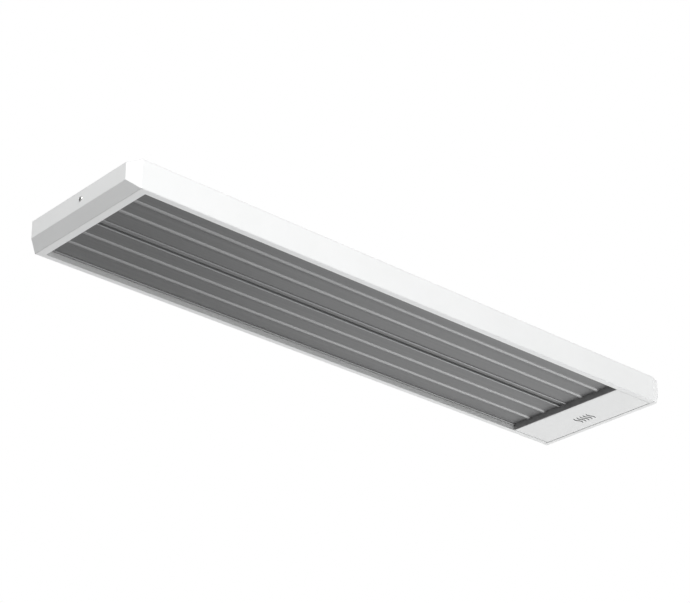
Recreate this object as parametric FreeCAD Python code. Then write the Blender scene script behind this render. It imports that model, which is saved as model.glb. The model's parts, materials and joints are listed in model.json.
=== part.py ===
"""Ceiling-hung radiant strip heater with two ribbed panels, in millimetres.

Frame: +X runs along the heater towards its terminal end, +Y across it, +Z up to the ceiling.
The origin is the middle of the four ceiling slots, on the ceiling plane.
"""
import FreeCAD, Part
import math
import os

Vector = FreeCAD.Vector
X_AXIS = Vector(1, 0, 0)
Z_AXIS = Vector(0, 0, 1)

# ---- driving dimensions -------------------------------------------------------------------

LENGTH = 1200.0            # end plate to end plate
WIDTH = 270.0              # over the two long sides
HEIGHT = 50.0              # underside to top of the back plate
CEILING_GAP = 32.0         # ceiling to the top of the back plate
SHEET = 1.0                # steel sheet of shell, back plate and cover
LIP = 10.0                 # underside strip beside the window
LEFT_LIP = 13.6            # underside strip at the plain end
END_JOINT = 0.9            # open joint between the shell and the terminal end's cap
CAP_STRAIGHT = 9.0         # flat underside strip of the terminal end's cap, before its bevel
RETURN_HEIGHT = 10.0       # flange turned up round the window
TOP_FLANGE = 12.0          # flange turned in at the top of each long side
SHELL_BEND = 1.8           # outside radius of the shell's lower bends
END_DEPTH = 13.2           # end cap, from the shell's end to its end plate
END_BEVEL_HEIGHT = 20.5    # how far the end cap's lower bevel climbs
BIG_BEVEL = 23.0           # corner bevel across the width, on one corner of each cap
SMALL_BEVEL = 7.0          # the same on the cap's other corner
HEATED_LENGTH = 1056.6     # window, from its plain end to the partition

PANEL_WIDTH = 118.0
PANEL_GAP = 11.0           # between the two panels
PANEL_DEPTH_IN = 10.2      # panel face above the underside
PANEL_BASE = 2.5
RIB_PITCH = 38.0
RIB_WIDTH = 11.0
EDGE_RIB_WIDTH = 5.0
RIB_HEIGHT = 2.2

ELEMENT_RADIUS = 4.0
LEAD_RADIUS = 1.6
SHIFT = 40.0               # the heater moves this far each way on its brackets
BRACKET_SPACING = 700.0    # between the two ceiling brackets
CEILING_HOLE_SPACING = 80.0
MOVING_GAP = 0.3           # between pieces that slide past each other

# ---- levels and places that follow --------------------------------------------------------

TOP = -CEILING_GAP
BOTTOM = TOP - HEIGHT
HALF_WIDTH = WIDTH / 2
HALF_LENGTH = LENGTH / 2
SHELL_END = HALF_LENGTH - END_DEPTH
WALL_TOP = TOP - SHEET
WALL_INSIDE = HALF_WIDTH - SHEET
WINDOW_LEFT = -SHELL_END + LEFT_LIP
CAP_RIGHT_MOUTH = SHELL_END - CAP_STRAIGHT
SHELL_RIGHT = CAP_RIGHT_MOUTH - END_JOINT
PIN_WALL = CAP_RIGHT_MOUTH + 3.0      # upstand in that cap, which carries the hinge pin
WINDOW_SIDE = HALF_WIDTH - LIP
PARTITION_X = WINDOW_LEFT + HEATED_LENGTH

PANEL_FACE = BOTTOM + PANEL_DEPTH_IN
PANEL_BACK = PANEL_FACE + PANEL_BASE
PANEL_MIDDLE = (PANEL_GAP + PANEL_WIDTH) / 2
PANEL_LEFT = WINDOW_LEFT + 3.0
PANEL_RIGHT = PARTITION_X - 3.2
ELEMENT_LEVEL = PANEL_BACK + 5.3
ELEMENT_BEND_X = PANEL_LEFT + 30.0
ELEMENT_END = PARTITION_X + 17.0
ELEMENT_OFFSET = RIB_PITCH / 2

RAIL_LEVEL = BOTTOM + 24.0
RAIL_HEIGHT = 4.0
RAIL_WIDTH = 25.0
RAIL_SHEET = 1.2
RAIL_XS = (-420.0, -40.0, 340.0)
MAT_BOTTOM = BOTTOM + 30.0
MAT_TOP = BOTTOM + 44.5
MAT_RIGHT = PARTITION_X - 4.0
MAT_HALF_WIDTH = WALL_INSIDE - 3.0
FOIL = 0.4

BRACKET_SHEET = 2.0
BRACKET_WIDTH = 30.0
BRACKET_HALF_WEB = 55.0
BRACKET_FOOT = 30.0
CLAMP_Y = BRACKET_HALF_WEB + BRACKET_FOOT / 2
CLAMP_RADIUS = 3.0
CLAMP_HOLE_RADIUS = 3.3
CEILING_SLOT_RADIUS = 3.25
CEILING_SLOT_LENGTH = 14.0

END_SCREW_LEVEL = BOTTOM + 35.5
END_SCREW_RADIUS = 1.9
END_SCREW_HOLE = 2.0
END_TAB_HALF = 18.0        # half width of the back plate's tab that takes the end screw
CAP_SHEET = 0.8            # thinner than the shell: it clears the hinge pin
CAP_BEND = 0.9             # outer radius of its folded edges
CAP_TAB = 11.0             # reach of the cap's side tabs into the shell
CAP_TAB_SETBACK = 14.0     # tabs stay this far from the shell's underside and top

HINGE_PIN_RADIUS = 1.5
HINGE_Y = WINDOW_SIDE - 3.2
HINGE_LEVEL = BOTTOM + 2.5
PARTITION_GAP = 0.4        # round the partition, so that it slips into the shell
COVER_LEFT = PARTITION_X + SHEET + 0.6
COVER_SEAM = 2.0           # open seam between the cover and the terminal end's cap
COVER_RIGHT = CAP_RIGHT_MOUTH - COVER_SEAM
COVER_NEAR = -WINDOW_SIDE + 0.6
COVER_FLANGE = 8.0

BLOCK_X = PARTITION_X + 66.0
BLOCK_Y = -50.0
BLOCK_POLE_PITCH = 14.0
BLOCK_LENGTH = 28.0
BLOCK_DEPTH = 20.0
BLOCK_LEVEL = WALL_TOP - BLOCK_DEPTH / 2
BLOCK_BORE = 3.4
BLOCK_FACE = WALL_TOP - BLOCK_DEPTH
BLOCK_SCREW_SPACING = 14.0
BLOCK_SCREW_RADIUS = 1.5
BLOCK_SCREW_HEAD = 2.4

CUTOUT_LEVEL = BOTTOM + 34.0
BLADE_OFFSET = 4.5
CUTOUT_BACK = PARTITION_X + SHEET + 10.0
BLADE_END = CUTOUT_BACK + 9.0
CRIMP_RADIUS = 1.9         # crimped barrel round the end of a lead
EARTH_X = PARTITION_X + 84.0
EARTH_Y = 18.0
PIN_END = ELEMENT_END + 12.0
GROMMET_X = PARTITION_X + 56.0
GROMMET_Y = 62.0
GROMMET_BORE = 4.5

RIVET_RADIUS = 1.6
RIVET_Y = WALL_INSIDE - 6.0
RIVETS_EACH_SIDE = 9
RIVET_REACH = 540.0

WASHER = 1.2
CLAMP_NUT = 5.0
CLAMP_NUT_FLATS = 10.0
CLAMP_SEAT = TOP + MOVING_GAP + BRACKET_SHEET

CHANNEL_WALL = 1.6         # metal round each element
HANGER_SLOT = 11.0
HANGER_MOUTH = 6.0
HANGER_WALL = 1.5
HANGER_ROOM = 4.3
HANGER_RADIUS = 2.5
HANGER_NUT = 4.0

BUSHING_RADIUS = 5.6
PIN_RADIUS = 1.4

EARTH_RADIUS = 2.0
EARTH_STUD = 12.0
EARTH_WASHER = 1.0
EARTH_LUG = 0.8
EARTH_NUT = 3.2
EARTH_BARREL = 9.0
LUG_LEVEL = WALL_TOP - EARTH_WASHER - CRIMP_RADIUS

GROMMET_NECK = 10.0
GROMMET_TOP = TOP + 9.0
GROMMET_BOTTOM = WALL_TOP - 2.5


# ---- small geometry helpers ---------------------------------------------------------------

def block(x0, x1, y0, y1, z0, z1):
    """Box between two corners."""
    return Part.makeBox(x1 - x0, y1 - y0, z1 - z0, Vector(x0, y0, z0))


def rod(start, end, radius):
    """Round bar from one point to another."""
    run = end - start
    return Part.makeCylinder(radius, run.Length, start, run)


def tube(start, end, radius, bore):
    """Round tube from one point to another."""
    return rod(start, end, radius).cut(rod(start, end, bore))


def prism(points, direction):
    """Straight prism on a closed outline of points."""
    outline = Part.makePolygon(points + [points[0]])
    return Part.Face(outline).extrude(direction)


def slot_cutter(x, y, length, radius, z0, z1):
    """Round-ended slot along X, as a solid to cut with."""
    half = length / 2 - radius
    cutter = block(x - half, x + half, y - radius, y + radius, z0, z1)
    for end in (x - half, x + half):
        cutter = cutter.fuse(rod(Vector(end, y, z0), Vector(end, y, z1), radius))
    return cutter.removeSplitter()


def hexagon(centre, across_flats, height, turn=0.0):
    """Hexagonal prism standing on its centre point, along Z."""
    radius = across_flats / math.sqrt(3.0)
    corners = []
    for index in range(6):
        angle = math.radians(60.0 * index + turn)
        corners.append(centre + Vector(radius * math.cos(angle), radius * math.sin(angle), 0))
    return prism(corners, Vector(0, 0, height))


def half_turn(shape):
    """The same piece at the other end: turned 180 degrees about Z."""
    turned = shape.copy()
    turned.rotate(Vector(0, 0, 0), Z_AXIS, 180)
    return turned


def fillet_along_x(shape, radius, test):
    """Round the edges that run along X and whose middle passes the test."""
    chosen = []
    for edge in shape.Edges:
        ends = edge.Vertexes
        if len(ends) < 2:
            continue
        run = ends[1].Point - ends[0].Point
        if abs(run.x) > 0.99 * run.Length and test(edge.CenterOfMass):
            chosen.append(edge)
    return shape.makeFillet(radius, chosen)


def lead_tube(name, points):
    """Round lead along straight runs joined by the largest arcs that the runs allow."""
    edges = []
    start = points[0]
    for before, corner, after in zip(points, points[1:], points[2:]):
        inward = (before - corner).normalize()
        onward = (after - corner).normalize()
        turn = math.pi - inward.getAngle(onward)
        shorter = min((corner - before).Length, (after - corner).Length)
        reach = 0.45 * shorter
        radius = reach / math.tan(turn / 2)
        print(name, "bend radius", round(radius, 1))
        first = corner + inward * reach
        last = corner + onward * reach
        middle_way = (inward + onward).normalize()
        centre_distance = radius / math.cos(turn / 2)
        middle = corner + middle_way * (centre_distance - radius)
        edges.append(Part.makeLine(start, first))
        edges.append(Part.Arc(first, middle, last).toShape())
        start = last
    edges.append(Part.makeLine(start, points[-1]))
    path = Part.Wire(edges)
    section = Part.Wire([Part.makeCircle(LEAD_RADIUS, points[0], points[1] - points[0])])
    lead = path.makePipeShell([section], True, False)
    print(name, "volume ratio", round(lead.Volume / (path.Length * math.pi * LEAD_RADIUS ** 2), 3))
    return lead


# ---- casing -------------------------------------------------------------------------------

def casing_shell():
    """Folded tray: two long sides, an underside with the window, and turned-in top flanges.

    The window runs out through the terminal end, where the cap closes it.
    """

    def lower_corner(point):
        return point.z < BOTTOM + 3 * SHEET

    outside = block(-SHELL_END, SHELL_RIGHT, -HALF_WIDTH, HALF_WIDTH, BOTTOM, WALL_TOP)
    outside = fillet_along_x(outside, SHELL_BEND, lower_corner)
    inside = block(-SHELL_END, SHELL_RIGHT, -WALL_INSIDE, WALL_INSIDE, BOTTOM + SHEET, WALL_TOP)
    inside = fillet_along_x(inside, SHELL_BEND - SHEET, lower_corner)
    shell = outside.cut(inside)
    for side in (-1, 1):
        edges = sorted((side * WALL_INSIDE, side * (WALL_INSIDE - TOP_FLANGE)))
        shell = shell.fuse(block(-SHELL_END, SHELL_RIGHT, edges[0], edges[1], WALL_TOP - SHEET,
                                 WALL_TOP))
    return_top = BOTTOM + RETURN_HEIGHT
    rim = block(WINDOW_LEFT - SHEET, SHELL_RIGHT, -WINDOW_SIDE - SHEET, WINDOW_SIDE + SHEET,
                BOTTOM, return_top)
    window = block(WINDOW_LEFT, SHELL_RIGHT, -WINDOW_SIDE, WINDOW_SIDE, BOTTOM, return_top)
    shell = shell.fuse(rim).cut(window)
    for x, y in rivet_places():
        shell = shell.cut(rod(Vector(x, y, WALL_TOP - SHEET), Vector(x, y, WALL_TOP), RIVET_RADIUS))
    return shell.removeSplitter()


def rivet_places():
    """Rivets that hold the back plate, evenly spaced along both top flanges."""
    step = 2 * RIVET_REACH / (RIVETS_EACH_SIDE - 1)
    places = []
    for side in (-1, 1):
        for index in range(RIVETS_EACH_SIDE):
            places.append((-RIVET_REACH + index * step, side * RIVET_Y))
    return places


def dome(x, y, z, radius, height):
    """Low round head standing on the level z."""
    ball_radius = (radius ** 2 + height ** 2) / (2 * height)
    ball = Part.makeSphere(ball_radius, Vector(x, y, z + height - ball_radius))
    return ball.common(block(x - radius, x + radius, y - radius, y + radius, z, z + height))


def back_plate_rivets():
    """Blind rivets: a domed head above the plate and a swelled tail under the flange."""
    rivets = []
    flange_bottom = WALL_TOP - SHEET
    tail_length = 2.0
    tail_radius = 2.3
    head = 2 * RIVET_RADIUS
    head_height = 1.1
    for x, y in rivet_places():
        shank = rod(Vector(x, y, flange_bottom), Vector(x, y, TOP), RIVET_RADIUS)
        tail = rod(Vector(x, y, flange_bottom - tail_length), Vector(x, y, flange_bottom), tail_radius)
        rivets.append(shank.fuse(dome(x, y, TOP, head, head_height)).fuse(tail).removeSplitter())
    return Part.makeCompound(rivets)


def stiffening_bead(x0, x1, y):
    """Pressed-up bead along X: its outer skin, and the hollow under it."""
    rise = 2.0
    outer_radius = 8.5
    centre_level = TOP + rise - outer_radius
    skins = []
    for radius in (outer_radius, outer_radius - SHEET):
        capsule = rod(Vector(x0, y, centre_level), Vector(x1, y, centre_level), radius)
        for end in (x0, x1):
            capsule = capsule.fuse(Part.makeSphere(radius, Vector(end, y, centre_level)))
        skins.append(capsule)
    room = 2 * outer_radius
    above = block(x0 - room, x1 + room, y - room, y + room, WALL_TOP, TOP + 2 * rise)
    return skins[0].common(above), skins[1].common(above)


def back_plate():
    """Flat sheet that closes the top, with slots for the brackets and a tab at each end."""
    outline = [
        Vector(-HALF_LENGTH, -HALF_WIDTH + BIG_BEVEL, WALL_TOP),
        Vector(-SHELL_END, -HALF_WIDTH, WALL_TOP),
        Vector(CAP_RIGHT_MOUTH, -HALF_WIDTH, WALL_TOP),
        Vector(HALF_LENGTH, -HALF_WIDTH + SMALL_BEVEL, WALL_TOP),
        Vector(HALF_LENGTH, HALF_WIDTH - BIG_BEVEL, WALL_TOP),
        Vector(SHELL_END, HALF_WIDTH, WALL_TOP),
        Vector(-SHELL_END, HALF_WIDTH, WALL_TOP),
        Vector(-HALF_LENGTH, HALF_WIDTH - SMALL_BEVEL, WALL_TOP),
    ]
    plate = prism(outline, Vector(0, 0, SHEET))
    for y in (-WIDTH / 8, WIDTH / 8):
        skin, hollow = stiffening_bead(-RIVET_REACH, PARTITION_X - 40, y)
        plate = plate.fuse(skin).cut(hollow)
    tab_x = HALF_LENGTH - CAP_SHEET - RAIL_SHEET
    tab_bottom = BOTTOM + END_BEVEL_HEIGHT + 6.5
    tab = block(tab_x, tab_x + RAIL_SHEET, -END_TAB_HALF, END_TAB_HALF, tab_bottom, WALL_TOP)
    tab = tab.cut(rod(Vector(tab_x, 0, END_SCREW_LEVEL), Vector(HALF_LENGTH, 0, END_SCREW_LEVEL),
                      END_SCREW_HOLE))
    plate = plate.fuse(tab).fuse(half_turn(tab))
    for x, y in clamp_places():
        plate = plate.cut(slot_cutter(x, y, 2 * SHIFT + 2 * CLAMP_HOLE_RADIUS, CLAMP_HOLE_RADIUS,
                                      WALL_TOP, TOP))
    for x, y in rivet_places():
        plate = plate.cut(rod(Vector(x, y, WALL_TOP), Vector(x, y, TOP), RIVET_RADIUS))
    plate = plate.cut(rod(Vector(GROMMET_X, GROMMET_Y, WALL_TOP), Vector(GROMMET_X, GROMMET_Y, TOP),
                          GROMMET_NECK))
    plate = plate.cut(rod(Vector(EARTH_X, EARTH_Y, WALL_TOP), Vector(EARTH_X, EARTH_Y, TOP),
                          EARTH_RADIUS))
    return plate.removeSplitter()


def cap_bends(cap, mouth):
    """The end cap's folded edges: all but those of its open top and of its mouth."""
    bends = []
    for edge in cap.Edges:
        middle = edge.CenterOfMass
        if middle.x < mouth - 0.1 and middle.z < WALL_TOP - 0.1:
            bends.append(edge)
    return bends


def end_cap(straight):
    """Hollow bevelled end piece at the plain end, with tabs that slip inside the shell.

    Its walls run straight for a given length, from its mouth to where the big bevels start.
    """
    mouth = -SHELL_END + straight
    plan = [
        Vector(mouth, -HALF_WIDTH, BOTTOM),
        Vector(-HALF_LENGTH, -HALF_WIDTH, BOTTOM),
        Vector(-HALF_LENGTH, HALF_WIDTH - SMALL_BEVEL, BOTTOM),
        Vector(mouth, HALF_WIDTH, BOTTOM),
    ]
    corner = [
        Vector(-HALF_LENGTH, -HALF_WIDTH, BOTTOM),
        Vector(-SHELL_END, -HALF_WIDTH, BOTTOM),
        Vector(-HALF_LENGTH, -HALF_WIDTH + BIG_BEVEL, BOTTOM),
    ]
    below = [
        Vector(-HALF_LENGTH, -HALF_WIDTH, BOTTOM),
        Vector(-SHELL_END, -HALF_WIDTH, BOTTOM),
        Vector(-HALF_LENGTH, -HALF_WIDTH, BOTTOM + END_BEVEL_HEIGHT),
    ]
    outside = prism(plan, Vector(0, 0, WALL_TOP - BOTTOM))
    outside = outside.cut(prism(corner, Vector(0, 0, HEIGHT))).cut(prism(below, Vector(0, WIDTH, 0)))
    outside = outside.makeFillet(CAP_BEND, cap_bends(outside, mouth))
    hollows = []
    for across in (-CAP_SHEET, CAP_SHEET):
        hollow = outside.copy()
        hollow.translate(Vector(CAP_SHEET, across, CAP_SHEET))
        hollows.append(hollow)
    cap = outside.cut(hollows[0].common(hollows[1]))
    allowed = outside.fuse(block(mouth, 0, -WALL_INSIDE, WALL_INSIDE, BOTTOM, TOP))
    for face in (-1, 1):
        edges = sorted((face * HALF_WIDTH, face * (WALL_INSIDE - RAIL_SHEET)))
        tab = block(mouth - SHEET, mouth + CAP_TAB, edges[0], edges[1],
                    BOTTOM + CAP_TAB_SETBACK, TOP - CAP_TAB_SETBACK)
        cap = cap.fuse(tab.common(allowed))
    screw_hole = rod(Vector(-HALF_LENGTH, 0, END_SCREW_LEVEL),
                     Vector(-HALF_LENGTH + CAP_SHEET, 0, END_SCREW_LEVEL), END_SCREW_HOLE)
    return cap.cut(screw_hole).removeSplitter()


def terminal_end_cap():
    """The cap at the terminal end: a longer one, with an upstand that carries the hinge pin."""
    cap = half_turn(end_cap(CAP_STRAIGHT))
    upstand = block(PIN_WALL, PIN_WALL + SHEET, -WINDOW_SIDE, WINDOW_SIDE, BOTTOM, BOTTOM + RETURN_HEIGHT)
    pin_hole = rod(Vector(PIN_WALL, HINGE_Y, HINGE_LEVEL), Vector(PIN_WALL + SHEET, HINGE_Y, HINGE_LEVEL),
                   HINGE_PIN_RADIUS + 0.05)
    return cap.fuse(upstand.cut(pin_hole)).removeSplitter()


def end_screw():
    """Pan-head screw through the middle of the plain end's cap, with a cross recess."""
    head_radius = 3.9
    head_height = 2.3
    recess_reach = 2.3
    recess_half = 0.45
    recess_depth = 1.3
    length = 9.0
    face = -HALF_LENGTH
    head = dome(0, 0, 0, head_radius, head_height)
    for turn in (0, 90):
        wing = block(-recess_reach, recess_reach, -recess_half, recess_half,
                     head_height - recess_depth, head_height)
        wing.rotate(Vector(0, 0, 0), Z_AXIS, turn)
        head = head.cut(wing)
    head.rotate(Vector(0, 0, 0), Vector(0, 1, 0), -90)
    head.translate(Vector(face, 0, END_SCREW_LEVEL))
    shank = rod(Vector(face, 0, END_SCREW_LEVEL), Vector(face + length, 0, END_SCREW_LEVEL),
                END_SCREW_RADIUS)
    return head.fuse(shank)


# ---- ceiling brackets ---------------------------------------------------------------------

def clamp_places():
    """The four screws that clamp the heater to its brackets."""
    return [(x, y) for x in (-BRACKET_SPACING / 2, BRACKET_SPACING / 2) for y in (-CLAMP_Y, CLAMP_Y)]


def ceiling_bracket(x):
    """Hat-section strap: web on the ceiling, two legs, and feet that sit over the back plate."""
    foot_bottom = TOP + MOVING_GAP
    foot_end = BRACKET_HALF_WEB + BRACKET_FOOT
    outline = []
    for y, z in (
        (-foot_end, foot_bottom),
        (-BRACKET_HALF_WEB + BRACKET_SHEET, foot_bottom),
        (-BRACKET_HALF_WEB + BRACKET_SHEET, -BRACKET_SHEET),
        (BRACKET_HALF_WEB - BRACKET_SHEET, -BRACKET_SHEET),
        (BRACKET_HALF_WEB - BRACKET_SHEET, foot_bottom),
        (foot_end, foot_bottom),
        (foot_end, foot_bottom + BRACKET_SHEET),
        (BRACKET_HALF_WEB, foot_bottom + BRACKET_SHEET),
        (BRACKET_HALF_WEB, 0),
        (-BRACKET_HALF_WEB, 0),
        (-BRACKET_HALF_WEB, foot_bottom + BRACKET_SHEET),
        (-foot_end, foot_bottom + BRACKET_SHEET),
    ):
        outline.append(Vector(x - BRACKET_WIDTH / 2, y, z))
    bracket = prism(outline, Vector(BRACKET_WIDTH, 0, 0))

    def outer_bend(point):
        at_web = abs(abs(point.y) - BRACKET_HALF_WEB) < 0.1 and abs(point.z) < 0.1
        at_foot = (abs(abs(point.y) - (BRACKET_HALF_WEB - BRACKET_SHEET)) < 0.1
                   and abs(point.z - foot_bottom) < 0.1)
        return at_web or at_foot

    def inner_bend(point):
        at_web = (abs(abs(point.y) - (BRACKET_HALF_WEB - BRACKET_SHEET)) < 0.1
                  and abs(point.z + BRACKET_SHEET) < 0.1)
        at_foot = (abs(abs(point.y) - BRACKET_HALF_WEB) < 0.1
                   and abs(point.z - foot_bottom - BRACKET_SHEET) < 0.1)
        return at_web or at_foot

    bracket = fillet_along_x(bracket, 1.5 * BRACKET_SHEET, outer_bend)
    bracket = fillet_along_x(bracket, 0.5 * BRACKET_SHEET, inner_bend)
    for y in (-CEILING_HOLE_SPACING / 2, CEILING_HOLE_SPACING / 2):
        bracket = bracket.cut(slot_cutter(x, y, CEILING_SLOT_LENGTH, CEILING_SLOT_RADIUS,
                                          -BRACKET_SHEET, 0))
    for y in (-CLAMP_Y, CLAMP_Y):
        bracket = bracket.cut(rod(Vector(x, y, foot_bottom), Vector(x, y, foot_bottom + BRACKET_SHEET),
                                  CLAMP_HOLE_RADIUS))
    return bracket


def clamp_screws():
    """Flat-headed screws standing up through the back plate's slots."""
    screws = []
    head_height = 3.0
    head_radius = 7.0
    head_top = WALL_TOP - MOVING_GAP
    tip = CLAMP_SEAT + WASHER + CLAMP_NUT + 2.0
    for x, y in clamp_places():
        head = rod(Vector(x, y, head_top - head_height), Vector(x, y, head_top), head_radius)
        shank = rod(Vector(x, y, head_top), Vector(x, y, tip), CLAMP_RADIUS)
        screws.append(head.fuse(shank).removeSplitter())
    return Part.makeCompound(screws)


def clamp_washers():
    washers = []
    for x, y in clamp_places():
        washers.append(tube(Vector(x, y, CLAMP_SEAT), Vector(x, y, CLAMP_SEAT + WASHER),
                            2 * CLAMP_RADIUS, CLAMP_HOLE_RADIUS))
    return Part.makeCompound(washers)


def clamp_nuts():
    nuts = []
    for x, y in clamp_places():
        base = Vector(x, y, CLAMP_SEAT + WASHER)
        hole = rod(base, base + Vector(0, 0, CLAMP_NUT), CLAMP_RADIUS)
        nuts.append(hexagon(base, CLAMP_NUT_FLATS, CLAMP_NUT, turn=15.0).cut(hole))
    return Part.makeCompound(nuts)


# ---- panels and heating elements ----------------------------------------------------------

def rib(y, width, x0, x1):
    """Rounded rib standing down from a panel's face."""
    radius = width ** 2 / (8 * RIB_HEIGHT) + RIB_HEIGHT / 2
    level = PANEL_FACE - RIB_HEIGHT + radius
    bar = rod(Vector(x0, y, level), Vector(x1, y, level), radius)
    return bar.common(block(x0, x1, y - width, y + width, PANEL_FACE - RIB_HEIGHT, PANEL_FACE + 0.5))


def radiant_panel(middle):
    """Extruded panel: ribbed face below, two element channels and a hanger slot on its back."""
    half = PANEL_WIDTH / 2
    panel = block(PANEL_LEFT, PANEL_RIGHT, middle - half, middle + half, PANEL_FACE, PANEL_BACK)
    for side in (-1, 1):
        edge = middle + side * (half - EDGE_RIB_WIDTH / 2)
        panel = panel.fuse(rib(edge, EDGE_RIB_WIDTH, PANEL_LEFT, PANEL_RIGHT))
        element = middle + side * ELEMENT_OFFSET
        panel = panel.fuse(rib(element, RIB_WIDTH, PANEL_LEFT, PANEL_RIGHT))
        wall = ELEMENT_RADIUS + CHANNEL_WALL
        channel = rod(Vector(ELEMENT_BEND_X, element, ELEMENT_LEVEL),
                      Vector(PANEL_RIGHT, element, ELEMENT_LEVEL), wall)
        web = block(ELEMENT_BEND_X, PANEL_RIGHT, element - ELEMENT_RADIUS, element + ELEMENT_RADIUS,
                    PANEL_BACK, ELEMENT_LEVEL)
        panel = panel.fuse(channel).fuse(web)
    slot_half = HANGER_SLOT / 2
    slot_top = PANEL_BACK + HANGER_ROOM
    panel = panel.fuse(block(ELEMENT_BEND_X, PANEL_RIGHT, middle - slot_half - HANGER_WALL,
                             middle + slot_half + HANGER_WALL, PANEL_BACK, slot_top + HANGER_WALL))
    panel = panel.cut(block(ELEMENT_BEND_X, PANEL_RIGHT, middle - slot_half, middle + slot_half,
                            PANEL_BACK, slot_top))
    panel = panel.cut(block(ELEMENT_BEND_X, PANEL_RIGHT, middle - HANGER_MOUTH / 2,
                            middle + HANGER_MOUTH / 2, slot_top, slot_top + HANGER_WALL))
    for side in (-1, 1):
        element = middle + side * ELEMENT_OFFSET
        panel = panel.cut(rod(Vector(ELEMENT_BEND_X, element, ELEMENT_LEVEL),
                              Vector(PANEL_RIGHT, element, ELEMENT_LEVEL), ELEMENT_RADIUS + 0.05))
    return panel.removeSplitter()


def heating_element(middle):
    """Tubular hairpin: two legs in the panel's channels and a half-round bend."""
    hairpin = None
    for side in (-1, 1):
        y = middle + side * ELEMENT_OFFSET
        leg = rod(Vector(ELEMENT_BEND_X, y, ELEMENT_LEVEL), Vector(ELEMENT_END, y, ELEMENT_LEVEL),
                  ELEMENT_RADIUS)
        hairpin = leg if hairpin is None else hairpin.fuse(leg)
    start = Vector(ELEMENT_BEND_X, middle + ELEMENT_OFFSET, ELEMENT_LEVEL)
    section = Part.Face(Part.Wire([Part.makeCircle(ELEMENT_RADIUS, start, X_AXIS)]))
    bend = section.revolve(Vector(ELEMENT_BEND_X, middle, ELEMENT_LEVEL), Z_AXIS, 180)
    return hairpin.fuse(bend).removeSplitter()


def element_legs():
    """The widthwise places of the four element legs."""
    places = []
    for middle in (-PANEL_MIDDLE, PANEL_MIDDLE):
        for side in (-1, 1):
            places.append(middle + side * ELEMENT_OFFSET)
    return places


def partition_bushings():
    """Ceramic sleeves that carry the element legs through the partition."""
    sleeves = []
    start = PARTITION_X - 1.5
    end = PARTITION_X + 6.0
    seat = PARTITION_X + SHEET
    collar_size = 2.0
    for y in element_legs():
        sleeve = rod(Vector(start, y, ELEMENT_LEVEL), Vector(end, y, ELEMENT_LEVEL), BUSHING_RADIUS)
        collar = rod(Vector(seat, y, ELEMENT_LEVEL), Vector(seat + collar_size, y, ELEMENT_LEVEL),
                     BUSHING_RADIUS + collar_size)
        bore = rod(Vector(start, y, ELEMENT_LEVEL), Vector(end, y, ELEMENT_LEVEL), ELEMENT_RADIUS + 0.05)
        sleeves.append(sleeve.fuse(collar).cut(bore).removeSplitter())
    return Part.makeCompound(sleeves)


def element_seals():
    """Ceramic beads that close the element tubes at their cold ends."""
    beads = []
    length = 5.0
    for y in element_legs():
        beads.append(tube(Vector(ELEMENT_END, y, ELEMENT_LEVEL),
                          Vector(ELEMENT_END + length, y, ELEMENT_LEVEL), ELEMENT_RADIUS + 0.6,
                          PIN_RADIUS))
    return Part.makeCompound(beads)


def element_pins():
    """Terminal pins that stand out of the element seals."""
    pins = []
    for y in element_legs():
        pins.append(rod(Vector(ELEMENT_END, y, ELEMENT_LEVEL), Vector(PIN_END, y, ELEMENT_LEVEL),
                        PIN_RADIUS))
    return Part.makeCompound(pins)


def centre_channel():
    """Channel between the panels, which covers their gap and hangs below the rails."""
    overlap = 4.0
    half = PANEL_GAP / 2 + overlap
    web = block(PANEL_LEFT, PANEL_RIGHT, -half, half, PANEL_BACK, PANEL_BACK + SHEET)
    for side in (-1, 1):
        edges = sorted((side * half, side * (half - SHEET)))
        web = web.fuse(block(PANEL_LEFT, PANEL_RIGHT, edges[0], edges[1], PANEL_BACK, RAIL_LEVEL))
    return web.removeSplitter()


# ---- inner frame and insulation -----------------------------------------------------------

def cross_rail(x):
    """Channel across the casing that the panels hang from, tacked to both long sides."""
    half = RAIL_WIDTH / 2
    end_tab = 14.0
    rail = block(x - half, x + half, -WALL_INSIDE, WALL_INSIDE, RAIL_LEVEL, RAIL_LEVEL + RAIL_HEIGHT)
    rail = rail.cut(block(x - half + RAIL_SHEET, x + half - RAIL_SHEET, -WALL_INSIDE, WALL_INSIDE,
                          RAIL_LEVEL + RAIL_SHEET, RAIL_LEVEL + RAIL_HEIGHT))
    for side in (-1, 1):
        edges = sorted((side * WALL_INSIDE, side * (WALL_INSIDE - RAIL_SHEET)))
        rail = rail.fuse(block(x - half, x + half, edges[0], edges[1], RAIL_LEVEL,
                               RAIL_LEVEL + end_tab))
        y = side * PANEL_MIDDLE
        rail = rail.cut(rod(Vector(x, y, RAIL_LEVEL), Vector(x, y, RAIL_LEVEL + RAIL_SHEET),
                            HANGER_RADIUS + 0.1))
    return rail.removeSplitter()


def hanger_places():
    return [(x, y) for x in RAIL_XS for y in (-PANEL_MIDDLE, PANEL_MIDDLE)]


def hanger_bolts():
    """Hammer-head bolts: the head rides in the panel's back slot, so the panel can grow."""
    bolts = []
    half_length = 4.0
    half_width = HANGER_SLOT / 2 - 0.5
    head_height = 3.2
    head_top = PANEL_BACK + HANGER_ROOM
    tip = MAT_BOTTOM - FOIL - 0.2
    for x, y in hanger_places():
        head = block(x - half_length, x + half_length, y - half_width, y + half_width,
                     head_top - head_height, head_top)
        shank = rod(Vector(x, y, head_top), Vector(x, y, tip), HANGER_RADIUS)
        bolts.append(head.fuse(shank).removeSplitter())
    return Part.makeCompound(bolts)


def hanger_nuts():
    nuts = []
    for x, y in hanger_places():
        base = Vector(x, y, RAIL_LEVEL + RAIL_SHEET)
        hole = rod(base, base + Vector(0, 0, HANGER_NUT), HANGER_RADIUS)
        nuts.append(hexagon(base, 2 * HANGER_NUT, HANGER_NUT).cut(hole))
    return Part.makeCompound(nuts)


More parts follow.
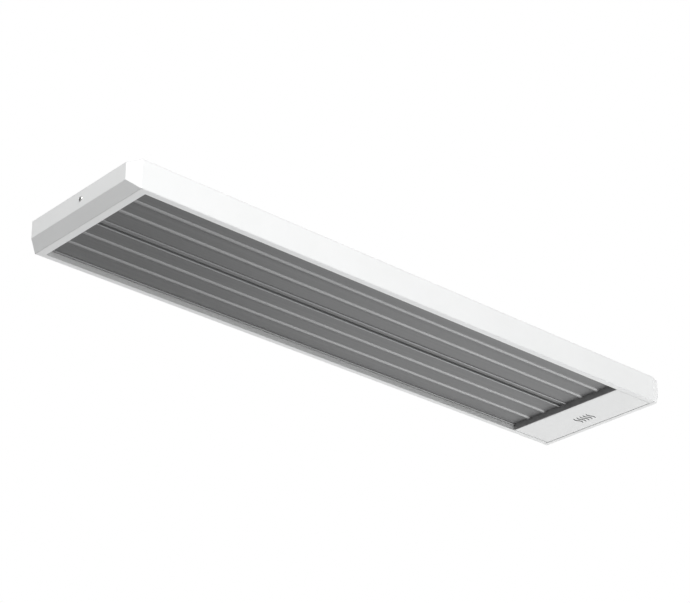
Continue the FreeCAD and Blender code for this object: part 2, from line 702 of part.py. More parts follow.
def insulation_mat():
    """Fibre mat that fills the space over the panels."""
    return block(PANEL_LEFT, MAT_RIGHT, -MAT_HALF_WIDTH, MAT_HALF_WIDTH, MAT_BOTTOM, MAT_TOP)


def insulation_foil():
    """Bright foil on the mat's lower face, which sends the heat back down."""
    return block(PANEL_LEFT, MAT_RIGHT, -MAT_HALF_WIDTH, MAT_HALF_WIDTH, MAT_BOTTOM - FOIL, MAT_BOTTOM)


def partition_plate():
    """Heat barrier between the panels and the terminal space, hung from the back plate."""
    face = PARTITION_X
    low_half = WINDOW_SIDE - PARTITION_GAP
    high_half = WALL_INSIDE - PARTITION_GAP
    neck_half = WALL_INSIDE - TOP_FLANGE - 10.0
    step = BOTTOM + RETURN_HEIGHT + PARTITION_GAP
    shoulder = WALL_TOP - SHEET - PARTITION_GAP
    low = block(face, face + SHEET, -low_half, low_half, BOTTOM + PARTITION_GAP, step)
    high = block(face, face + SHEET, -high_half, high_half, step, shoulder)
    neck = block(face, face + SHEET, -neck_half, neck_half, shoulder, WALL_TOP)
    flange = block(face, face + TOP_FLANGE, -neck_half, neck_half, WALL_TOP - SHEET, WALL_TOP)
    plate = low.fuse(high).fuse(neck).fuse(flange)
    for y in element_legs():
        plate = plate.cut(rod(Vector(face, y, ELEMENT_LEVEL), Vector(face + SHEET, y, ELEMENT_LEVEL),
                              BUSHING_RADIUS))
    plate = plate.cut(rod(Vector(face, HINGE_Y, HINGE_LEVEL), Vector(face + SHEET, HINGE_Y, HINGE_LEVEL),
                          HINGE_PIN_RADIUS + 0.05))
    return plate.removeSplitter()


# ---- terminal space -----------------------------------------------------------------------

def terminal_cover():
    """Cover plate with turned-up edges and a rolled edge that turns on the hinge pin."""
    plate = block(COVER_LEFT, COVER_RIGHT, COVER_NEAR, HINGE_Y, BOTTOM, BOTTOM + SHEET)
    top = BOTTOM + SHEET + COVER_FLANGE
    flange_end = HINGE_Y - 4
    cover = plate.fuse(block(COVER_LEFT, COVER_RIGHT, COVER_NEAR, COVER_NEAR + SHEET, BOTTOM, top))
    for x in (COVER_LEFT, COVER_RIGHT - SHEET):
        cover = cover.fuse(block(x, x + SHEET, COVER_NEAR, flange_end, BOTTOM, top))
    axis_start = Vector(COVER_LEFT, HINGE_Y, HINGE_LEVEL)
    axis_end = Vector(COVER_RIGHT, HINGE_Y, HINGE_LEVEL)
    roll_radius = HINGE_LEVEL - BOTTOM
    cover = cover.fuse(rod(axis_start, axis_end, roll_radius))
    cover = cover.cut(rod(axis_start, axis_end, HINGE_PIN_RADIUS + 0.06))
    return cover.removeSplitter()


def cover_hinge_pin():
    """Pin through the partition, the cover's rolled edge and the end cap's upstand."""
    return rod(Vector(PARTITION_X, HINGE_Y, HINGE_LEVEL),
               Vector(PIN_WALL + SHEET + 1, HINGE_Y, HINGE_LEVEL), HINGE_PIN_RADIUS)


def cover_spring():
    """Leaf spring on the cover's free edge, which grips the turned-up flange of the window."""
    length = 28.0
    strip = 0.6
    hook = 0.9
    low = SHEET
    top = RETURN_HEIGHT + 2.4
    start = (COVER_LEFT + COVER_RIGHT - length) / 2
    inner = COVER_NEAR + SHEET
    points = [(0.0, low), (strip, low), (strip, top), (-hook, top), (-hook, top - strip),
              (0.0, top - strip)]
    outline = [Vector(start, inner + across, BOTTOM + up) for across, up in points]
    return prism(outline, Vector(length, 0, 0))


def terminal_block():
    """Three-pole block hung under the back plate, with its screws facing down."""
    half_width = 1.5 * BLOCK_POLE_PITCH + 2.0
    groove_half = 0.8
    groove_depth = 7.0
    left = BLOCK_X - BLOCK_LENGTH / 2
    right = BLOCK_X + BLOCK_LENGTH / 2
    body = block(left, right, BLOCK_Y - half_width, BLOCK_Y + half_width, BLOCK_FACE, WALL_TOP)
    for side in (-0.5, 0.5):
        y = BLOCK_Y + side * BLOCK_POLE_PITCH
        body = body.cut(block(left, right, y - groove_half, y + groove_half, BLOCK_FACE,
                              BLOCK_FACE + groove_depth))
    for y in pole_places():
        body = body.cut(rod(Vector(left, y, BLOCK_LEVEL), Vector(right, y, BLOCK_LEVEL), BLOCK_BORE))
        for x in block_screw_xs():
            body = body.cut(rod(Vector(x, y, BLOCK_FACE), Vector(x, y, BLOCK_LEVEL),
                                BLOCK_SCREW_HEAD + 0.2))
    return body.removeSplitter()


def pole_places():
    return [BLOCK_Y + step * BLOCK_POLE_PITCH for step in (-1, 0, 1)]


def block_screw_xs():
    return (BLOCK_X - BLOCK_SCREW_SPACING / 2, BLOCK_X + BLOCK_SCREW_SPACING / 2)


def terminal_sleeves():
    """Brass sleeves in the block's bores, drilled for their screws."""
    sleeves = []
    half = BLOCK_LENGTH / 2 - 2.0
    bore = 2.0
    for y in pole_places():
        sleeve = tube(Vector(BLOCK_X - half, y, BLOCK_LEVEL), Vector(BLOCK_X + half, y, BLOCK_LEVEL),
                      BLOCK_BORE, bore)
        for x in block_screw_xs():
            sleeve = sleeve.cut(rod(Vector(x, y, BLOCK_LEVEL - BLOCK_BORE), Vector(x, y, BLOCK_LEVEL),
                                    BLOCK_SCREW_RADIUS))
        sleeves.append(sleeve)
    return Part.makeCompound(sleeves)


def terminal_screws():
    """Slotted screws of the terminal block, two to a pole."""
    screws = []
    low = BLOCK_FACE + 1.5
    head_top = low + 2.0
    slot_half = 0.35
    slot_depth = 0.9
    reach = BLOCK_SCREW_HEAD
    for y in pole_places():
        for x in block_screw_xs():
            head = rod(Vector(x, y, low), Vector(x, y, head_top), reach)
            head = head.cut(block(x - reach, x + reach, y - slot_half, y + slot_half, low,
                                  low + slot_depth))
            shank = rod(Vector(x, y, head_top), Vector(x, y, BLOCK_LEVEL - 0.5), BLOCK_SCREW_RADIUS)
            screws.append(head.fuse(shank).removeSplitter())
    return Part.makeCompound(screws)


def thermal_cutout():
    """Round bimetal cut-out on the partition, with a mounting flange."""
    flange_half = 13.0
    flange_rise = 5.0
    body_radius = 8.0
    face = PARTITION_X + SHEET
    flange = block(face, face + SHEET, -flange_half, flange_half, CUTOUT_LEVEL - flange_rise,
                   CUTOUT_LEVEL + flange_rise)
    body = rod(Vector(face + SHEET, 0, CUTOUT_LEVEL), Vector(CUTOUT_BACK, 0, CUTOUT_LEVEL), body_radius)
    return flange.fuse(body).removeSplitter()


def cutout_blades():
    """Two push-on blades of the cut-out, each with a crimped lead barrel on it."""
    blades = []
    blade_length = 5.0
    half_thick = 0.4
    half_height = 3.0
    for y in (-BLADE_OFFSET, BLADE_OFFSET):
        blade = block(CUTOUT_BACK, CUTOUT_BACK + blade_length, y - half_thick, y + half_thick,
                      CUTOUT_LEVEL - half_height, CUTOUT_LEVEL + half_height)
        barrel = rod(Vector(CUTOUT_BACK + blade_length - 1.0, y, CUTOUT_LEVEL),
                     Vector(BLADE_END, y, CUTOUT_LEVEL), CRIMP_RADIUS)
        blades.append(blade.fuse(barrel).removeSplitter())
    return Part.makeCompound(blades)


def earth_stud():
    """Stud pressed into the back plate over the terminal space."""
    return rod(Vector(EARTH_X, EARTH_Y, TOP), Vector(EARTH_X, EARTH_Y, WALL_TOP - EARTH_STUD),
               EARTH_RADIUS)


def earth_washer():
    top = Vector(EARTH_X, EARTH_Y, WALL_TOP)
    return tube(top, top - Vector(0, 0, EARTH_WASHER), 2.25 * EARTH_RADIUS, EARTH_RADIUS)


def earth_lug():
    """Ring lug of the earth lead, with its barrel pointing at the terminal block."""
    top = Vector(EARTH_X, EARTH_Y, WALL_TOP - EARTH_WASHER)
    ring_radius = 4.2
    neck_half = 1.8
    neck_end = 6.0
    ring = rod(top, top - Vector(0, 0, EARTH_LUG), ring_radius)
    barrel = rod(Vector(EARTH_X, EARTH_Y - ring_radius - 0.6, LUG_LEVEL),
                 Vector(EARTH_X, EARTH_Y - EARTH_BARREL, LUG_LEVEL), CRIMP_RADIUS)
    neck = block(EARTH_X - neck_half, EARTH_X + neck_half, EARTH_Y - neck_end, EARTH_Y - neck_end / 2,
                 WALL_TOP - EARTH_WASHER - EARTH_LUG, WALL_TOP - EARTH_WASHER)
    stud_room = rod(Vector(EARTH_X, EARTH_Y, WALL_TOP), Vector(EARTH_X, EARTH_Y, LUG_LEVEL), EARTH_RADIUS)
    return ring.fuse(neck).fuse(barrel).cut(stud_room).removeSplitter()


def earth_nut():
    base = Vector(EARTH_X, EARTH_Y, WALL_TOP - EARTH_WASHER - EARTH_LUG - EARTH_NUT)
    hole = rod(base, base + Vector(0, 0, EARTH_NUT), EARTH_RADIUS)
    return hexagon(base, 3.5 * EARTH_RADIUS, EARTH_NUT).cut(hole)


def cable_grommet():
    """Rubber cable inlet in the back plate, over the terminal space."""
    inner_lip = GROMMET_NECK + 2.5
    outer_lip = GROMMET_NECK + 3.5
    collar = GROMMET_BORE + 3.5
    profile = [
        (GROMMET_BORE, GROMMET_BOTTOM),
        (inner_lip, GROMMET_BOTTOM),
        (inner_lip, WALL_TOP),
        (GROMMET_NECK, WALL_TOP),
        (GROMMET_NECK, TOP),
        (outer_lip, TOP),
        (outer_lip - 1.0, TOP + 2.5),
        (collar, TOP + 3.5),
        (collar - 1.0, GROMMET_TOP),
        (GROMMET_BORE, GROMMET_TOP),
    ]
    outline = [Vector(GROMMET_X + radius, GROMMET_Y, level) for radius, level in profile]
    half_section = Part.Face(Part.makePolygon(outline + [outline[0]]))
    return half_section.revolve(Vector(GROMMET_X, GROMMET_Y, 0), Z_AXIS, 360)


# ---- leads in the terminal space ----------------------------------------------------------

def lead_routes():
    """Each lead's route, by hand: it starts and ends square to what it joins."""
    legs = element_legs()
    poles = pole_places()
    block_face = BLOCK_X - BLOCK_LENGTH / 2
    inside_block = block_face + 5
    low = ELEMENT_LEVEL - 3
    far = PIN_END + 14
    return {
        "lead_live": [
            Vector(inside_block, poles[0], BLOCK_LEVEL),
            Vector(block_face - 11, poles[0], BLOCK_LEVEL),
            Vector(block_face - 17, poles[0] + 22, BLOCK_LEVEL - 4),
            Vector(block_face - 15, -BLADE_OFFSET - 12, CUTOUT_LEVEL - 1),
            Vector(BLADE_END + 9, -BLADE_OFFSET, CUTOUT_LEVEL),
            Vector(BLADE_END, -BLADE_OFFSET, CUTOUT_LEVEL),
        ],
        "lead_switched": [
            Vector(BLADE_END, BLADE_OFFSET, CUTOUT_LEVEL),
            Vector(BLADE_END + 12, BLADE_OFFSET, CUTOUT_LEVEL),
            Vector(BLADE_END + 20, BLADE_OFFSET + 14, CUTOUT_LEVEL - 6),
            Vector(PIN_END + 12, legs[2] - 12, ELEMENT_LEVEL + 1),
            Vector(PIN_END + 10, legs[2], ELEMENT_LEVEL),
            Vector(PIN_END, legs[2], ELEMENT_LEVEL),
        ],
        "lead_link": [
            Vector(PIN_END, legs[3], ELEMENT_LEVEL),
            Vector(PIN_END + 11, legs[3], ELEMENT_LEVEL),
            Vector(far + 4, legs[3] - 12, low),
            Vector(far + 8, legs[3] - 45, low - 1),
            Vector(far + 11, 6, low - 2),
            Vector(far + 9, -34, low - 2),
            Vector(far + 7, legs[0] + 14, low - 1),
            Vector(PIN_END + 12, legs[0], ELEMENT_LEVEL),
            Vector(PIN_END, legs[0], ELEMENT_LEVEL),
        ],
        "lead_neutral": [
            Vector(PIN_END, legs[1], ELEMENT_LEVEL),
            Vector(PIN_END + 9, legs[1], ELEMENT_LEVEL),
            Vector(PIN_END + 14, legs[1] - 1, ELEMENT_LEVEL + 9),
            Vector(block_face - 12, poles[1] + 1, BLOCK_LEVEL - 4),
            Vector(block_face - 5, poles[1], BLOCK_LEVEL),
            Vector(inside_block, poles[1], BLOCK_LEVEL),
        ],
        "lead_earth": [
            Vector(inside_block, poles[2], BLOCK_LEVEL),
            Vector(block_face - 9, poles[2], BLOCK_LEVEL),
            Vector(block_face - 11, poles[2] + 13, BLOCK_LEVEL - 3),
            Vector(block_face + 6, poles[2] + 26, BLOCK_LEVEL - 6),
            Vector(EARTH_X - 8, EARTH_Y - 30, BLOCK_LEVEL - 1),
            Vector(EARTH_X, EARTH_Y - 20, LUG_LEVEL),
            Vector(EARTH_X, EARTH_Y - EARTH_BARREL, LUG_LEVEL),
        ],
    }


# ---- every node ---------------------------------------------------------------------------

def all_nodes():
    half_spacing = BRACKET_SPACING / 2
    screw = end_screw()
    nodes = {
        "ceiling_bracket_left": ceiling_bracket(-half_spacing),
        "ceiling_bracket_right": ceiling_bracket(half_spacing),
        "clamp_screws": clamp_screws(),
        "clamp_washers": clamp_washers(),
        "clamp_nuts": clamp_nuts(),
        "casing_shell": casing_shell(),
        "back_plate": back_plate(),
        "back_plate_rivets": back_plate_rivets(),
        "end_cap_left": end_cap(0),
        "end_cap_right": terminal_end_cap(),
        "end_cap_screws": Part.makeCompound([screw, half_turn(screw)]),
        "radiant_panel_near": radiant_panel(-PANEL_MIDDLE),
        "radiant_panel_far": radiant_panel(PANEL_MIDDLE),
        "heating_element_near": heating_element(-PANEL_MIDDLE),
        "heating_element_far": heating_element(PANEL_MIDDLE),
        "partition_bushings": partition_bushings(),
        "element_seals": element_seals(),
        "element_pins": element_pins(),
        "centre_channel": centre_channel(),
        "hanger_bolts": hanger_bolts(),
        "hanger_nuts": hanger_nuts(),
        "insulation_mat": insulation_mat(),
        "insulation_foil": insulation_foil(),
        "partition_plate": partition_plate(),
        "terminal_cover": terminal_cover(),
        "cover_hinge_pin": cover_hinge_pin(),
        "cover_spring": cover_spring(),
        "terminal_block": terminal_block(),
        "terminal_sleeves": terminal_sleeves(),
        "terminal_screws": terminal_screws(),
        "thermal_cutout": thermal_cutout(),
        "cutout_blades": cutout_blades(),
        "earth_stud": earth_stud(),
        "earth_washer": earth_washer(),
        "earth_lug": earth_lug(),
        "earth_nut": earth_nut(),
        "cable_grommet": cable_grommet(),
    }
    for name, x in zip(("left", "middle", "right"), RAIL_XS):
        nodes["cross_rail_" + name] = cross_rail(x)
    for name, route in lead_routes().items():
        nodes[name] = lead_tube(name, route)
    return nodes


def main():
    os.makedirs("parts", exist_ok=True)
    for name, shape in all_nodes().items():
        box = shape.BoundBox
        print(name, "valid" if shape.isValid() else "NOT VALID", len(shape.Solids), "solid(s)",
              round(box.XMin, 1), round(box.XMax, 1), round(box.YMin, 1), round(box.YMax, 1),
              round(box.ZMin, 1), round(box.ZMax, 1))
        shape.exportStep(os.path.join("parts", name + ".step"))


main()
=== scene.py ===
import bmesh
import bpy
import json
import math
from mathutils import Matrix, Vector


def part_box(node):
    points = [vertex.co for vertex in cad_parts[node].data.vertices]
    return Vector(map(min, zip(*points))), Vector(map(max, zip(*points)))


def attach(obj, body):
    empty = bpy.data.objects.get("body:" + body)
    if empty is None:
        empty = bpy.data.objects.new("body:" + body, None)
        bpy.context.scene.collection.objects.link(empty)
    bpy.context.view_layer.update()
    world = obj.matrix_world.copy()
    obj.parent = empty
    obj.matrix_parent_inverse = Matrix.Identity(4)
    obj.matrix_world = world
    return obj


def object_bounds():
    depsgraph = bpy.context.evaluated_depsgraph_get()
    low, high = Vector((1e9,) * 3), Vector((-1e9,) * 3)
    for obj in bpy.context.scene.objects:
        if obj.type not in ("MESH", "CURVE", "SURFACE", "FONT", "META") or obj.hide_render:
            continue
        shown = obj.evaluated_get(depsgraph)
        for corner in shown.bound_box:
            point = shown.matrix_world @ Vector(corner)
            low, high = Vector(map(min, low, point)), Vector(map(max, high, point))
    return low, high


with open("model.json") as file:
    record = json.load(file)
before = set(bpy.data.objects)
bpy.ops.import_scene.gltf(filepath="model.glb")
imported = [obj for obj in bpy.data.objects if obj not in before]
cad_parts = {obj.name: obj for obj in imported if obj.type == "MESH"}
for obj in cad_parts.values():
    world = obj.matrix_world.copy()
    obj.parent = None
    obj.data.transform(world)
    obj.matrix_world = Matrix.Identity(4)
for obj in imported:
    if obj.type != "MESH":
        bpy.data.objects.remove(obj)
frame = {"nodes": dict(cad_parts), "record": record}
CAD_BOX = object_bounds()
NODES = frame["nodes"]
LOW, HIGH = CAD_BOX
CENTRE = (LOW + HIGH) / 2
MM = 0.001


# ---- camera, lights and surroundings ------------------------------------------------------

CAMERA_AZIMUTH = -43.0
CAMERA_ELEVATION = -26.6
CAMERA_ROLL = -0.7
CAMERA_DISTANCE = 3.21
CAMERA_LENS = 99.2
AIM_OFFSET = Vector((-0.0395, 0.0245, 0.018))
CAMERA_SENSOR = 36.0
CLIP_NEAR = 0.05
CLIP_FAR = 60.0
FLOOR_DROP = 2.4           # ceiling to floor
FLOOR_SIZE = 12.0
AMBIENT = 0.11            # strength of the light from all round


def direction(azimuth, elevation):
    """Unit vector from the object towards a viewer; azimuth 0 is in front, on the -Y side."""
    a = math.radians(azimuth)
    e = math.radians(elevation)
    return Vector((math.sin(a) * math.cos(e), -math.cos(a) * math.cos(e), math.sin(e)))


def add_camera():
    """Camera below the object and to its left, as steep as the object is seen."""
    back = direction(CAMERA_AZIMUTH, CAMERA_ELEVATION)
    data = bpy.data.cameras.new("camera")
    data.lens = CAMERA_LENS
    data.sensor_width = CAMERA_SENSOR
    data.clip_start = CLIP_NEAR
    data.clip_end = CLIP_FAR
    camera = bpy.data.objects.new("camera", data)
    bpy.context.scene.collection.objects.link(camera)
    camera.rotation_mode = "QUATERNION"
    level = (-back).to_track_quat("-Z", "Y")
    roll = Matrix.Rotation(math.radians(CAMERA_ROLL), 4, "Z").to_quaternion()
    camera.rotation_quaternion = level @ roll
    camera.location = CENTRE + AIM_OFFSET + back * CAMERA_DISTANCE
    bpy.context.scene.camera = camera


def add_area_light(name, azimuth, elevation, distance, size, power):
    """Square white soft light that faces the object: angles in degrees, metres and watts."""
    data = bpy.data.lights.new(name, "AREA")
    data.shape = "SQUARE"
    data.size = size
    data.energy = power
    light = bpy.data.objects.new(name, data)
    bpy.context.scene.collection.objects.link(light)
    towards = direction(azimuth, elevation)
    light.location = CENTRE + towards * distance
    light.rotation_mode = "QUATERNION"
    light.rotation_quaternion = towards.to_track_quat("Z", "Y")
    light.visible_camera = False


def add_lights():
    """Main lights from the upper left and front, soft fills from below, and a rim at the right."""
    add_area_light("main_upper_left", -42.0, 32.0, 8.0, 4.5, 750.0)
    add_area_light("main_front", -15.0, 30.0, 8.0, 4.5, 80.0)
    add_area_light("fill_below", 20.0, -60.0, 2.3, 1.5, 6.5)
    add_area_light("fill_far_right", 125.0, -25.0, 2.3, 1.6, 3.0)
    add_area_light("fill_below_right", 105.0, -51.0, 2.6, 1.4, 7.5)
    add_area_light("fill_right", 85.0, -38.0, 2.6, 1.4, 13.5)
    add_area_light("rim_right", 85.0, 13.0, 2.5, 1.0, 6.5)


def add_world():
    """White studio surroundings: full white behind the object, dimmer as ambient light."""
    world = bpy.data.worlds.new("studio")
    bpy.context.scene.world = world
    world.use_nodes = True
    tree = world.node_tree
    tree.nodes.clear()
    output = tree.nodes.new("ShaderNodeOutputWorld")
    mix = tree.nodes.new("ShaderNodeMixShader")
    path = tree.nodes.new("ShaderNodeLightPath")
    ambient = tree.nodes.new("ShaderNodeBackground")
    ambient.inputs["Color"].default_value = (1.0, 1.0, 1.0, 1.0)
    ambient.inputs["Strength"].default_value = AMBIENT
    backdrop = tree.nodes.new("ShaderNodeBackground")
    backdrop.inputs["Color"].default_value = (1.0, 1.0, 1.0, 1.0)
    backdrop.inputs["Strength"].default_value = 1.0
    tree.links.new(path.outputs["Is Camera Ray"], mix.inputs["Fac"])
    tree.links.new(ambient.outputs[0], mix.inputs[1])
    tree.links.new(backdrop.outputs[0], mix.inputs[2])
    tree.links.new(mix.outputs[0], output.inputs["Surface"])
    bpy.context.scene.view_settings.view_transform = "Standard"


# ---- material helpers ---------------------------------------------------------------------

class Surface:
    """A node material under construction: one Principled shader and what feeds it."""

    def __init__(self, name, metallic=0.0):
        self.material = bpy.data.materials.new(name)
        self.material.use_nodes = True
        self.tree = self.material.node_tree
        self.shader = self.tree.nodes["Principled BSDF"]
        self.shader.inputs["Metallic"].default_value = metallic
        self.coordinates = self.add("ShaderNodeTexCoord").outputs["Object"]

    def add(self, kind, **values):
        node = self.tree.nodes.new(kind)
        for key, value in values.items():
            setattr(node, key, value)
        return node

    def link(self, source, target):
        self.tree.links.new(source, target)

    def stretched(self, scale):
        """Object coordinates times a factor for each axis."""
        mapping = self.add("ShaderNodeMapping")
        mapping.inputs["Scale"].default_value = scale
        self.link(self.coordinates, mapping.inputs["Vector"])
        return mapping.outputs["Vector"]

    def noise(self, scale, detail=4.0, stretch=(1.0, 1.0, 1.0), roughness=0.55):
        node = self.add("ShaderNodeTexNoise")
        node.inputs["Scale"].default_value = scale
        node.inputs["Detail"].default_value = detail
        node.inputs["Roughness"].default_value = roughness
        self.link(self.stretched(stretch), node.inputs["Vector"])
        return node.outputs["Fac"]

    def cells(self, scale):
        """A random value for each cell of a crystal-like pattern."""
        node = self.add("ShaderNodeTexVoronoi")
        node.inputs["Scale"].default_value = scale
        self.link(self.coordinates, node.inputs["Vector"])
        return node.outputs["Color"]

    def spread(self, value, low, high, start=0.3, end=0.7):
        """Value from start..end mapped to low..high."""
        node = self.add("ShaderNodeMapRange")
        node.inputs["From Min"].default_value = start
        node.inputs["From Max"].default_value = end
        node.inputs["To Min"].default_value = low
        node.inputs["To Max"].default_value = high
        self.link(value, node.inputs["Value"])
        return node.outputs["Result"]

    def blend_colours(self, factor, first, second):
        node = self.add("ShaderNodeMix", data_type="RGBA")
        for socket, colour in ((node.inputs[6], first), (node.inputs[7], second)):
            if isinstance(colour, (tuple, list)):
                socket.default_value = (*colour, 1.0)
            else:
                self.link(colour, socket)
        self.link(factor, node.inputs[0])
        return node.outputs[2]

    def colour(self, source):
        self.link(source, self.shader.inputs["Base Color"])

    def roughness(self, source):
        self.link(source, self.shader.inputs["Roughness"])

    def bumps(self, *layers, edge_radius=0.0):
        """Bump layers of (height, distance in metres, strength), one over the other.

        An edge radius above zero also shades the piece's sharp edges as rounded ones.
        """
        below = None
        if edge_radius > 0:
            edges = self.add("ShaderNodeBevel", samples=6)
            edges.inputs["Radius"].default_value = edge_radius
            below = edges.outputs["Normal"]
        for height, distance, strength in layers:
            node = self.add("ShaderNodeBump")
            node.inputs["Strength"].default_value = strength
            node.inputs["Distance"].default_value = distance
            self.link(height, node.inputs["Height"])
            if below is not None:
                self.link(below, node.inputs["Normal"])
            below = node.outputs["Normal"]
        self.link(below, self.shader.inputs["Normal"])


# ---- materials ----------------------------------------------------------------------------

PAINT_EDGE_RADIUS = 0.8 * MM

def white_paint():
    """Smooth powder coat: a faint mottle, fine orange peel and softly folded edges."""
    s = Surface("white_powder_coat")
    broad = s.noise(9.0, detail=3.0)
    s.colour(s.blend_colours(s.spread(broad, 0.0, 1.0), (0.845, 0.85, 0.85), (0.825, 0.832, 0.83)))
    s.roughness(s.spread(s.noise(140.0), 0.34, 0.46))
    s.bumps((s.noise(900.0, detail=2.0), 0.00012, 0.35), edge_radius=PAINT_EDGE_RADIUS)
    return s.material


def panel_metal():
    """Matt anodised extrusion: faint drawing lines along X and a fine etched grain."""
    s = Surface("anodised_panel", metallic=0.7)
    streaks = s.noise(60.0, detail=5.0, stretch=(0.02, 4.0, 4.0))
    speckle = s.noise(900.0, detail=3.0)
    shade = s.spread(streaks, 0.0, 1.0, 0.25, 0.75)
    drawn = s.blend_colours(shade, (0.20, 0.202, 0.204), (0.24, 0.241, 0.243))
    s.colour(s.blend_colours(s.spread(speckle, 0.0, 0.5), drawn, (0.29, 0.29, 0.292)))
    s.roughness(s.spread(speckle, 0.34, 0.46))
    s.bumps((streaks, 0.0002, 0.15), (speckle, 0.00012, 0.35))
    return s.material


def shade_lifted_channel_metal():
    """The same anodising on the strip between the panels, duller; its colour is painted a little
    lighter to lift the shade in the gap between the panels.
    """
    s = Surface("anodised_channel_painted_fill", metallic=0.25)
    streaks = s.noise(60.0, detail=5.0, stretch=(0.02, 4.0, 4.0))
    speckle = s.noise(900.0, detail=3.0)
    shade = s.spread(streaks, 0.0, 1.0, 0.25, 0.75)
    # painted fill light: a lighter tone than the panels' drawn metal, to brighten the shaded gap
    s.colour(s.blend_colours(shade, (0.215, 0.217, 0.218), (0.255, 0.256, 0.258)))
    s.roughness(s.spread(speckle, 0.45, 0.58))
    s.bumps((streaks, 0.0002, 0.15), (speckle, 0.00012, 0.35))
    return s.material


def plain_metal(name, colour, roughness):
    """Bare or plated metal with a fine grain along X."""
    s = Surface(name, metallic=1.0)
    grain = s.noise(700.0, detail=3.0, stretch=(0.15, 1.0, 1.0))
    darker = tuple(0.82 * channel for channel in colour)
    s.colour(s.blend_colours(s.spread(s.noise(60.0), 0.0, 1.0), colour, darker))
    s.roughness(s.spread(grain, roughness - 0.08, roughness + 0.1))
    s.bumps((grain, 0.0001, 0.2))
    return s.material


def galvanised():
    """Zinc-coated steel with its spangle."""
    s = Surface("galvanised_steel", metallic=1.0)
    spangle = s.cells(130.0)
    tone = s.spread(spangle, 0.0, 1.0, 0.0, 1.0)
    s.colour(s.blend_colours(tone, (0.50, 0.52, 0.54), (0.68, 0.70, 0.72)))
    s.roughness(s.spread(spangle, 0.32, 0.5, 0.0, 1.0))
    s.bumps((s.noise(400.0), 0.0001, 0.2))
    return s.material


def matte(name, colour, roughness):
    """Paint, plastic, rubber or ceramic: one colour with a mottle and a fine grain."""
    s = Surface(name)
    darker = tuple(0.8 * channel for channel in colour)
    s.colour(s.blend_colours(s.spread(s.noise(40.0), 0.0, 1.0), colour, darker))
    s.roughness(s.spread(s.noise(200.0), roughness - 0.08, roughness + 0.08))
    s.bumps((s.noise(700.0, detail=3.0), 0.00015, 0.3))
    return s.material


def fibre_mat():
    """Loose pale fibres that lie mostly along X."""
    s = Surface("fibre_mat")
    fibres = s.noise(300.0, detail=8.0, stretch=(0.3, 1.0, 1.0), roughness=0.7)
    s.colour(s.blend_colours(s.spread(fibres, 0.0, 1.0), (0.62, 0.60, 0.55), (0.85, 0.83, 0.78)))
    s.roughness(s.spread(fibres, 0.8, 0.95))
    s.bumps((fibres, 0.001, 0.8))
    return s.material


def make_materials():
    """One material for each slot in the record."""
    return {
        "white_paint": white_paint(),
        "panel_anodised": panel_metal(),
        "dark_paint": matte("heat_grey", (0.27, 0.27, 0.272), 0.5),
        "zinc_steel": galvanised(),
        "screw_steel": plain_metal("screw_steel", (0.62, 0.62, 0.61), 0.28),
        "element_steel": plain_metal("element_steel", (0.30, 0.26, 0.23), 0.4),
        "ceramic": matte("ceramic", (0.85, 0.83, 0.77), 0.3),
        "fibre_mat": fibre_mat(),
        "foil": plain_metal("foil", (0.82, 0.82, 0.83), 0.22),
        "rubber": matte("rubber", (0.025, 0.025, 0.026), 0.62),
        "block_plastic": matte("block_plastic", (0.78, 0.76, 0.70), 0.45),
        "cutout_plastic": matte("cutout_plastic", (0.05, 0.04, 0.035), 0.4),
        "brass": plain_metal("brass", (0.74, 0.56, 0.27), 0.26),
        "lead_brown": matte("lead_brown", (0.16, 0.065, 0.028), 0.5),
        "lead_blue": matte("lead_blue", (0.04, 0.11, 0.42), 0.5),
        "lead_green": matte("lead_green", (0.10, 0.34, 0.06), 0.5),
    }


def dress_nodes(materials):
    """Gives every CAD node its slot's material; the strip between the panels is duller, with painted
    fill light in its colour.
    """
    for entry in frame["record"]["subparts"]:
        mesh = NODES[entry["node"]].data
        mesh.materials.clear()
        mesh.materials.append(materials[entry["material_slot"]])
    NODES["centre_channel"].data.materials[0] = shade_lifted_channel_metal()


# ---- the scene ----------------------------------------------------------------------------

def add_floor():
    """Plain pale floor, under the ceiling that the object hangs from."""
    below = (CENTRE.x, CENTRE.y, HIGH.z - FLOOR_DROP)
    bpy.ops.mesh.primitive_plane_add(size=FLOOR_SIZE, location=below)
    floor = bpy.context.object
    floor.name = "floor"
    s = Surface("pale_floor")
    s.colour(s.blend_colours(s.spread(s.noise(3.0), 0.0, 1.0), (0.80, 0.80, 0.80), (0.78, 0.78, 0.78)))
    s.roughness(s.spread(s.noise(20.0), 0.6, 0.75))
    floor.data.materials.append(s.material)


# ---- sign on the terminal cover -----------------------------------------------------------

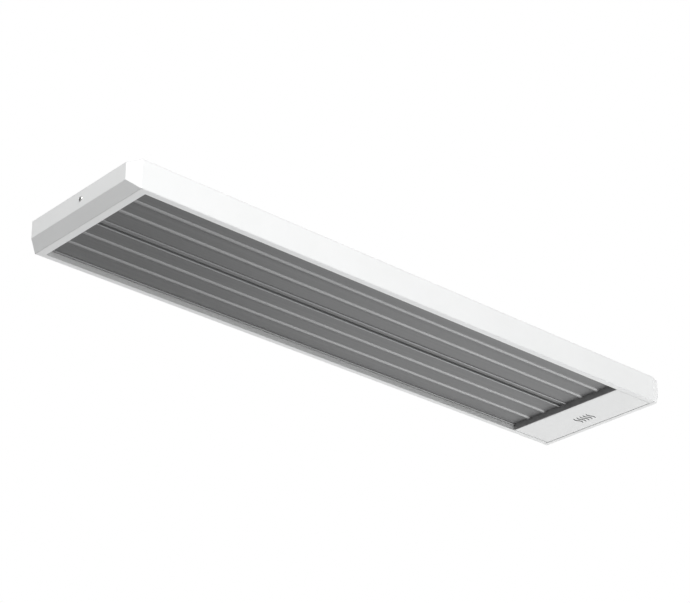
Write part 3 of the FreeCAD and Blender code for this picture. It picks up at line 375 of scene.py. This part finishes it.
STROKES = 5
STROKE_LENGTH = 27.0 * MM
STROKE_WIDTH = 3.6 * MM
STROKE_SWAY = 2.0 * MM
STROKE_PITCH = 7.5 * MM
INK_THICKNESS = 0.12 * MM
SIGN_OFFSET = 10.0 * MM    # from the middle of the cover towards the terminal end


def heat_stroke(mesh, x, y, level):
    """Adds one wavy stroke: an S that runs along X, as a thin closed strip under the level."""
    steps = 24
    end_width = 0.35
    rings = []
    for index in range(steps + 1):
        along = index / steps
        sway = STROKE_SWAY * math.sin(2 * math.pi * along)
        taper = end_width + (1 - end_width) * math.sin(math.pi * along)
        half = STROKE_WIDTH / 2 * taper
        px = x + (along - 0.5) * STROKE_LENGTH
        ring = []
        for dy, z in ((-half, level), (half, level), (half, level - INK_THICKNESS),
                      (-half, level - INK_THICKNESS)):
            ring.append(mesh.verts.new((px, y + sway + dy, z)))
        rings.append(ring)
    for first, second in zip(rings, rings[1:]):
        for side in range(4):
            following = (side + 1) % 4
            mesh.faces.new((first[side], second[side], second[following], first[following]))
    mesh.faces.new(rings[0])
    mesh.faces.new(reversed(rings[-1]))


def add_heat_sign():
    """One row of plain heat waves, printed on the underside of the terminal cover."""
    low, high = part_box("terminal_cover")
    x = (low.x + high.x) / 2 + SIGN_OFFSET
    y = (low.y + high.y) / 2
    mesh = bmesh.new()
    for index in range(STROKES):
        heat_stroke(mesh, x, y + (index - (STROKES - 1) / 2) * STROKE_PITCH, low.z)
    data = bpy.data.meshes.new("heat_sign")
    mesh.to_mesh(data)
    mesh.free()
    data.materials.append(ink("ink_grey", 0.06))
    sign = bpy.data.objects.new("heat_sign", data)
    bpy.context.scene.collection.objects.link(sign)
    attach(sign, "cover")


def ink(name, tone):
    """Screen-printed ink with a slight mottle."""
    s = Surface(name)
    mottle = s.spread(s.noise(900.0), 0.0, 1.0)
    s.colour(s.blend_colours(mottle, (tone, tone, tone), (1.3 * tone, 1.3 * tone, 1.3 * tone)))
    s.roughness(s.spread(s.noise(500.0), 0.4, 0.55))
    s.bumps((s.noise(1500.0), 0.00005, 0.3))
    return s.material


add_camera()
add_world()
add_lights()
add_floor()
dress_nodes(make_materials())
add_heat_sign()
